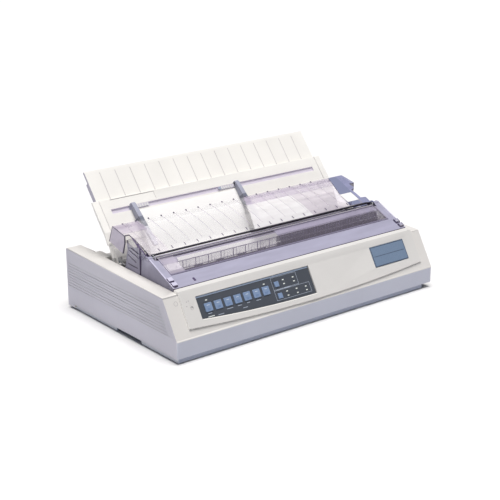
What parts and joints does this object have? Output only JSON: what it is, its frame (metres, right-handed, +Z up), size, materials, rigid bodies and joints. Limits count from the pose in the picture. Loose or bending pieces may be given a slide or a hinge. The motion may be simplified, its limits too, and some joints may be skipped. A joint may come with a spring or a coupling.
{
  "type": "dot matrix printer",
  "caption": "Wide-carriage dot matrix printer: low sloping case, hinged clear covers, raised sheet guide, key panel, and a geared platen with a belt-driven print head inside.",
  "frame": {"origin": "centre of the case's footprint, on the ground under the feet", "axes": "+X to the right of a person at the control panel, +Y towards the back, +Z up"},
  "size_m": [0.552, 0.317, 0.2314],
  "materials": {
    "case_cream": "fine moulded texture",
    "base_grey": "fine moulded texture",
    "clear_smoke": "clear, lightly tinted",
    "panel_film": "printed film",
    "key_blue": "satin",
    "badge": "blank plate",
    "guide_blue": "satin",
    "steel": "zinc plated",
    "shaft_steel": "ground",
    "black_plastic": "satin",
    "platen_rubber": "ground rubber",
    "foot_rubber": "matt",
    "gear_plastic": "natural",
    "brass": "machined",
    "motor_black": "black",
    "board_green": "solder mask",
    "supply_steel": "folded sheet",
    "paper": "plain white sheet",
    "screw_steel": "zinc plated"
  },
  "bodies": {
    "chassis": {"lower_case": "base_grey", "upper_case": "case_cream", "front_bezel": "case_cream", "control_sheet": "panel_film", "badge_plate": "badge", "control_board": "board_green", "side_frame_left": "steel", "side_frame_right": "steel", "carriage_shaft": "shaft_steel", "carriage_rail": "steel", "paper_plates": "steel", "space_motor": "motor_black", "timing_belt": "foot_rubber", "feed_motor": "motor_black", "main_board": "board_green", "power_supply": "supply_steel", "power_inlet": "black_plastic", "parallel_connector": "steel", "rubber_feet": "foot_rubber", "case_screws": "screw_steel", "cover_brackets": "clear_smoke", "pull_up_strip": "clear_smoke", "tractor_support_shaft": "shaft_steel", "paper_sheet": "paper"},
    "access_cover": {"access_cover": "clear_smoke"},
    "rear_cover": {"rear_cover": "clear_smoke"},
    "sheet_guide": {"sheet_guide": "case_cream"},
    "paper_support": {"paper_support": "case_cream"},
    "paper_guide_left": {"paper_guide_left": "guide_blue"},
    "paper_guide_right": {"paper_guide_right": "guide_blue"},
    "platen": {"platen": "platen_rubber", "platen_shaft": "shaft_steel", "platen_gear": "gear_plastic", "platen_knob": "case_cream"},
    "pull_up_roller": {"pull_up_roller": "black_plastic"},
    "idle_gear": {"idle_gear": "gear_plastic"},
    "feed_pinion": {"feed_pinion": "brass"},
    "tractor_drive": {"tractor_drive_shaft": "shaft_steel"},
    "tractor_left": {"tractor_left": "black_plastic"},
    "tractor_right": {"tractor_right": "black_plastic"},
    "tractor_lid_left": {"tractor_lid_left": "black_plastic"},
    "tractor_lid_right": {"tractor_lid_right": "black_plastic"},
    "carriage": {"carriage": "black_plastic", "print_head": "motor_black", "ribbon_cartridge": "black_plastic"},
    "ribbon_knob": {"ribbon_knob": "gear_plastic"},
    "drive_pulley": {"drive_pulley": "steel"},
    "idler_pulley": {"idler_pulley": "steel"},
    "paper_lever": {"paper_lever": "guide_blue"},
    "head_gap_lever": {"head_gap_lever": "guide_blue"},
    "power_rocker": {"power_rocker": "black_plastic"},
    "key_1": {"key_1": "key_blue"},
    "key_2": {"key_2": "key_blue"},
    "key_3": {"key_3": "key_blue"},
    "key_4": {"key_4": "key_blue"},
    "key_5": {"key_5": "key_blue"},
    "key_6": {"key_6": "key_blue"},
    "key_7": {"key_7": "key_blue"},
    "small_key_1": {"small_key_1": "key_blue"},
    "small_key_2": {"small_key_2": "key_blue"}
  },
  "joints": [
    {"name": "access_cover_hinge", "type": "hinge", "parent": "chassis", "child": "access_cover", "pos_m": [0, -0.0405, 0.1315], "axis": [-1, 0, 0], "range_deg": [0, 110]},
    {"name": "rear_cover_hinge", "type": "hinge", "parent": "chassis", "child": "rear_cover", "pos_m": [0, -0.0305, 0.1305], "axis": [1, 0, 0], "range_deg": [0, 62]},
    {"name": "sheet_guide_hinge", "type": "hinge", "parent": "chassis", "child": "sheet_guide", "pos_m": [0, 0.0535, 0.096], "axis": [-1, 0, 0], "range_deg": [0, 38], "deforming": ["paper_sheet"]},
    {"name": "paper_support_slide", "type": "slide", "parent": "sheet_guide", "child": "paper_support", "axis": [0, 0.6334, 0.7738], "range_m": [-0.036, 0]},
    {"name": "paper_guide_left_slide", "type": "slide", "parent": "sheet_guide", "child": "paper_guide_left", "axis": [1, 0, 0], "range_m": [-0.03, 0.13]},
    {"name": "paper_guide_right_slide", "type": "slide", "parent": "sheet_guide", "child": "paper_guide_right", "axis": [1, 0, 0], "range_m": [-0.13, 0.17]},
    {"name": "platen_spin", "type": "hinge", "parent": "chassis", "child": "platen", "pos_m": [0, -0.0205, 0.074], "axis": [1, 0, 0], "continuous": true},
    {"name": "idle_gear_spin", "type": "hinge", "parent": "chassis", "child": "idle_gear", "pos_m": [0, 0.01794, 0.06712], "axis": [1, 0, 0], "continuous": true},
    {"name": "feed_pinion_spin", "type": "hinge", "parent": "chassis", "child": "feed_pinion", "pos_m": [0, 0.01794, 0.04407], "axis": [1, 0, 0], "continuous": true},
    {"name": "pull_up_spin", "type": "hinge", "parent": "chassis", "child": "pull_up_roller", "pos_m": [0, -0.0458, 0.09968], "axis": [1, 0, 0], "continuous": true},
    {"name": "tractor_drive_spin", "type": "hinge", "parent": "chassis", "child": "tractor_drive", "pos_m": [0, 0.04653, 0.062], "axis": [1, 0, 0], "continuous": true},
    {"name": "tractor_left_slide", "type": "slide", "parent": "chassis", "child": "tractor_left", "axis": [1, 0, 0], "range_m": [-0.008, 0.17]},
    {"name": "tractor_right_slide", "type": "slide", "parent": "chassis", "child": "tractor_right", "axis": [1, 0, 0], "range_m": [-0.17, 0.022]},
    {"name": "tractor_lid_left_hinge", "type": "hinge", "parent": "tractor_left", "child": "tractor_lid_left", "pos_m": [-0.2014, 0.0565, 0.078], "axis": [0, -1, 0], "range_deg": [0, 100]},
    {"name": "tractor_lid_right_hinge", "type": "hinge", "parent": "tractor_right", "child": "tractor_lid_right", "pos_m": [0.2054, 0.0565, 0.078], "axis": [0, 1, 0], "range_deg": [0, 100]},
    {"name": "carriage_slide", "type": "slide", "parent": "chassis", "child": "carriage", "axis": [1, 0, 0], "range_m": [-0.322, 0.022]},
    {"name": "ribbon_knob_spin", "type": "hinge", "parent": "carriage", "child": "ribbon_knob", "pos_m": [0.112, -0.0865, 0.094], "axis": [0, 0, 1], "continuous": true},
    {"name": "drive_pulley_spin", "type": "hinge", "parent": "chassis", "child": "drive_pulley", "pos_m": [-0.205, -0.0885, 0.03], "axis": [0, 0, 1], "range_deg": [-190, 2650]},
    {"name": "idler_pulley_spin", "type": "hinge", "parent": "chassis", "child": "idler_pulley", "pos_m": [0.212, -0.0885, 0.03], "axis": [0, 0, 1], "range_deg": [-190, 2650]},
    {"name": "paper_lever_swing", "type": "hinge", "parent": "chassis", "child": "paper_lever", "pos_m": [0.255, 0.0315, 0.038], "axis": [1, 0, 0], "range_deg": [-10, 10]},
    {"name": "head_gap_swing", "type": "hinge", "parent": "chassis", "child": "head_gap_lever", "pos_m": [0.2374, -0.0665, 0.04], "axis": [-1, 0, 0], "range_deg": [0, 20]},
    {"name": "power_rocker_swing", "type": "hinge", "parent": "chassis", "child": "power_rocker", "pos_m": [0.271, -0.1015, 0.026], "axis": [0, 0, 1], "range_deg": [0, 14]},
    {"name": "key_1_press", "type": "slide", "parent": "chassis", "child": "key_1", "axis": [0, 0.8603, -0.5098], "range_m": [0, 0.0008], "stiffness_N_per_m": 900, "springref_m": -0.0006},
    {"name": "key_2_press", "type": "slide", "parent": "chassis", "child": "key_2", "axis": [0, 0.8603, -0.5098], "range_m": [0, 0.0008], "stiffness_N_per_m": 900, "springref_m": -0.0006},
    {"name": "key_3_press", "type": "slide", "parent": "chassis", "child": "key_3", "axis": [0, 0.8603, -0.5098], "range_m": [0, 0.0008], "stiffness_N_per_m": 900, "springref_m": -0.0006},
    {"name": "key_4_press", "type": "slide", "parent": "chassis", "child": "key_4", "axis": [0, 0.8603, -0.5098], "range_m": [0, 0.0008], "stiffness_N_per_m": 900, "springref_m": -0.0006},
    {"name": "key_5_press", "type": "slide", "parent": "chassis", "child": "key_5", "axis": [0, 0.8603, -0.5098], "range_m": [0, 0.0008], "stiffness_N_per_m": 900, "springref_m": -0.0006},
    {"name": "key_6_press", "type": "slide", "parent": "chassis", "child": "key_6", "axis": [0, 0.8603, -0.5098], "range_m": [0, 0.0008], "stiffness_N_per_m": 900, "springref_m": -0.0006},
    {"name": "key_7_press", "type": "slide", "parent": "chassis", "child": "key_7", "axis": [0, 0.8603, -0.5098], "range_m": [0, 0.0008], "stiffness_N_per_m": 900, "springref_m": -0.0006},
    {"name": "small_key_1_press", "type": "slide", "parent": "chassis", "child": "small_key_1", "axis": [0, 0.8603, -0.5098], "range_m": [0, 0.0008], "stiffness_N_per_m": 900, "springref_m": -0.0006},
    {"name": "small_key_2_press", "type": "slide", "parent": "chassis", "child": "small_key_2", "axis": [0, 0.8603, -0.5098], "range_m": [0, 0.0008], "stiffness_N_per_m": 900, "springref_m": -0.0006}
  ],
  "couplings": [
    {"joint": "idle_gear_spin", "follows": "platen_spin", "ratio": -1.2941},
    {"joint": "feed_pinion_spin", "follows": "platen_spin", "ratio": 3.6667},
    {"joint": "pull_up_spin", "follows": "platen_spin", "ratio": -1.5714},
    {"joint": "tractor_drive_spin", "follows": "platen_spin", "ratio": 1.8333},
    {"joint": "drive_pulley_spin", "follows": "carriage_slide", "rad_per_m": -142.86},
    {"joint": "idler_pulley_spin", "follows": "carriage_slide", "rad_per_m": -142.86}
  ]
}
